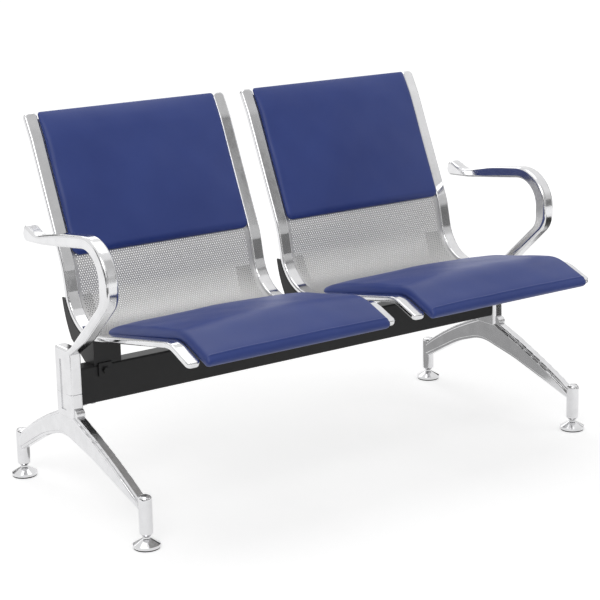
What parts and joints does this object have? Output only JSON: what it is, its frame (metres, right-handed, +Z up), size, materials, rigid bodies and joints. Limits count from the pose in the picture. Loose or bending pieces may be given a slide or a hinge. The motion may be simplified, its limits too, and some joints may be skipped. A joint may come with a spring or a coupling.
{
  "type": "beam seating",
  "caption": "Airport-style beam seat with upholstered seat and back pads on perforated steel shells, loop arms, arched legs and levelling feet",
  "frame": {"origin": "on the floor under the middle of the bounding box", "axes": "+X along the beam to the sitter's left, +Y to the rear, +Z up"},
  "size_m": [1.211, 0.6778, 0.7961],
  "materials": {
    "black_coat": "satin powder coat",
    "polished_casting": "polished and plated casting",
    "bright_tube": "bright plated",
    "perforated_sheet": "silver grey powder coat",
    "cross_bar": "silver grey powder coat",
    "board": "raw plywood",
    "upholstery": "smooth coated fabric",
    "fastener": "zinc plated",
    "sole": "matte",
    "glide": "bright plated",
    "stud": "zinc plated"
  },
  "bodies": {
    "frame": {"beam": "black_coat", "leg_left": "polished_casting", "arm_left": "polished_casting", "leg_screws_left": "fastener", "arm_screws_left": "fastener", "side_tube_left_seat_left": "bright_tube", "side_tube_left_seat_right": "bright_tube", "tube_plugs_left": "bright_tube", "seat_sheet_left": "perforated_sheet", "front_pan_bar_left": "cross_bar", "rear_pan_bar_left": "cross_bar", "lower_back_bar_left": "cross_bar", "upper_back_bar_left": "cross_bar", "seat_pad_left": "upholstery", "seat_board_left": "board", "seat_pad_screws_left": "fastener", "back_pad_left": "upholstery", "back_board_left": "board", "back_pad_screws_left": "fastener", "leg_right": "polished_casting", "arm_right": "polished_casting", "leg_screws_right": "fastener", "arm_screws_right": "fastener", "side_tube_right_seat_left": "bright_tube", "side_tube_right_seat_right": "bright_tube", "tube_plugs_right": "bright_tube", "seat_sheet_right": "perforated_sheet", "front_pan_bar_right": "cross_bar", "rear_pan_bar_right": "cross_bar", "lower_back_bar_right": "cross_bar", "upper_back_bar_right": "cross_bar", "seat_pad_right": "upholstery", "seat_board_right": "board", "seat_pad_screws_right": "fastener", "back_pad_right": "upholstery", "back_board_right": "board", "back_pad_screws_right": "fastener", "bracket_left_seat_left": "black_coat", "bracket_left_seat_right": "black_coat", "bracket_right_seat_left": "black_coat", "bracket_right_seat_right": "black_coat", "frame_bolts_left": "fastener", "beam_bolts_left": "fastener", "frame_bolts_right": "fastener", "beam_bolts_right": "fastener"},
    "base_left_front": {"foot_glide_left_front": "glide", "foot_sole_left_front": "sole"},
    "screw_left_front": {"foot_stud_left_front": "stud"},
    "base_left_rear": {"foot_glide_left_rear": "glide", "foot_sole_left_rear": "sole"},
    "screw_left_rear": {"foot_stud_left_rear": "stud"},
    "base_right_front": {"foot_glide_right_front": "glide", "foot_sole_right_front": "sole"},
    "screw_right_front": {"foot_stud_right_front": "stud"},
    "base_right_rear": {"foot_glide_right_rear": "glide", "foot_sole_right_rear": "sole"},
    "screw_right_rear": {"foot_stud_right_rear": "stud"}
  },
  "joints": [
    {"name": "lift_left_front", "type": "slide", "parent": "frame", "child": "base_left_front", "axis": [0, 0, -1], "range_m": [-0.002, 0.012]},
    {"name": "turn_left_front", "type": "hinge", "parent": "base_left_front", "child": "screw_left_front", "pos_m": [-0.5775, -0.21512, 0.03], "axis": [0, 0, -1], "range_deg": [-481, 2881]},
    {"name": "lift_left_rear", "type": "slide", "parent": "frame", "child": "base_left_rear", "axis": [0, 0, -1], "range_m": [-0.002, 0.012]},
    {"name": "turn_left_rear", "type": "hinge", "parent": "base_left_rear", "child": "screw_left_rear", "pos_m": [-0.5775, 0.31088, 0.03], "axis": [0, 0, -1], "range_deg": [-481, 2881]},
    {"name": "lift_right_front", "type": "slide", "parent": "frame", "child": "base_right_front", "axis": [0, 0, -1], "range_m": [-0.002, 0.012]},
    {"name": "turn_right_front", "type": "hinge", "parent": "base_right_front", "child": "screw_right_front", "pos_m": [0.5775, -0.21512, 0.03], "axis": [0, 0, -1], "range_deg": [-481, 2881]},
    {"name": "lift_right_rear", "type": "slide", "parent": "frame", "child": "base_right_rear", "axis": [0, 0, -1], "range_m": [-0.002, 0.012]},
    {"name": "turn_right_rear", "type": "hinge", "parent": "base_right_rear", "child": "screw_right_rear", "pos_m": [0.5775, 0.31088, 0.03], "axis": [0, 0, -1], "range_deg": [-481, 2881]}
  ],
  "couplings": [
    {"joint": "turn_left_front", "follows": "lift_left_front", "rad_per_m": 4188.8},
    {"joint": "turn_left_rear", "follows": "lift_left_rear", "rad_per_m": 4188.8},
    {"joint": "turn_right_front", "follows": "lift_right_front", "rad_per_m": 4188.8},
    {"joint": "turn_right_rear", "follows": "lift_right_rear", "rad_per_m": 4188.8}
  ]
}
